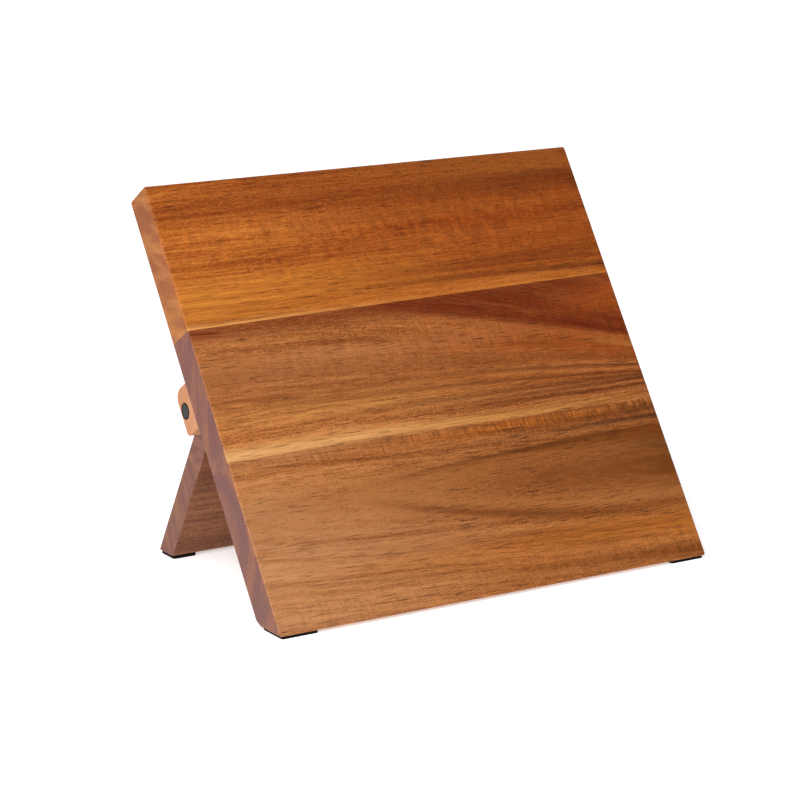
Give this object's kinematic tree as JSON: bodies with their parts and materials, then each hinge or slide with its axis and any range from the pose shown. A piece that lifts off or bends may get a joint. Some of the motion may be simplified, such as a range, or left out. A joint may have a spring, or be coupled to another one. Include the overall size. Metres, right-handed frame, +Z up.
{
  "type": "magnetic knife board",
  "caption": "Folding magnetic knife board: a thick glued-up plank board with hidden magnets leans back on a full-width wooden easel leg, hinged on pins in two lugs behind it.",
  "frame": {"origin": "middle of the footprint, on the surface that the rubber feet stand on", "axes": "+Z up, -Y towards the user and the board's front face, +X along the board's width to the right as seen from the front"},
  "size_m": [0.305, 0.1888, 0.2374],
  "materials": {
    "board_wood_top": "satin oiled acacia, orange-brown, darker towards the top and the right",
    "board_wood_middle": "satin oiled acacia, golden brown with dark reddish streaks",
    "board_wood_bottom": "satin oiled acacia, tan brown with dark streaks and a cross figure",
    "cover_wood": "satin oiled acacia",
    "leg_wood": "satin oiled acacia, dark brown",
    "lug_wood": "satin oiled pale orange wood",
    "magnet_nickel": "bright nickel plate",
    "pin_steel": "drawn steel rod",
    "screw_steel": "dark plated steel",
    "cap_plastic": "black moulded plastic",
    "washer_nylon": "natural nylon",
    "foot_rubber": "matt black rubber"
  },
  "bodies": {
    "board": {"plank_top": "board_wood_top", "plank_middle": "board_wood_middle", "plank_bottom": "board_wood_bottom", "magnets_top": "magnet_nickel", "magnets_middle": "magnet_nickel", "magnets_bottom": "magnet_nickel", "slot_cover_top": "cover_wood", "slot_cover_middle": "cover_wood", "slot_cover_bottom": "cover_wood", "hinge_lug_left": "lug_wood", "hinge_lug_right": "lug_wood", "lug_screws_left": "screw_steel", "lug_screws_right": "screw_steel", "pivot_pin_left": "pin_steel", "pivot_pin_right": "pin_steel", "pin_cap_left": "cap_plastic", "pin_cap_right": "cap_plastic", "hinge_washer_left": "washer_nylon", "hinge_washer_right": "washer_nylon", "board_foot_left": "foot_rubber", "board_foot_right": "foot_rubber"},
    "leg": {"leg_plank_upper": "leg_wood", "leg_plank_lower": "leg_wood", "leg_foot_left": "foot_rubber", "leg_foot_right": "foot_rubber"}
  },
  "joints": [
    {"name": "leg_fold", "type": "hinge", "parent": "board", "child": "leg", "pos_m": [0, 0.02514, 0.10778], "axis": [1, 0, 0], "range_deg": [-68.8, 0]}
  ]
}
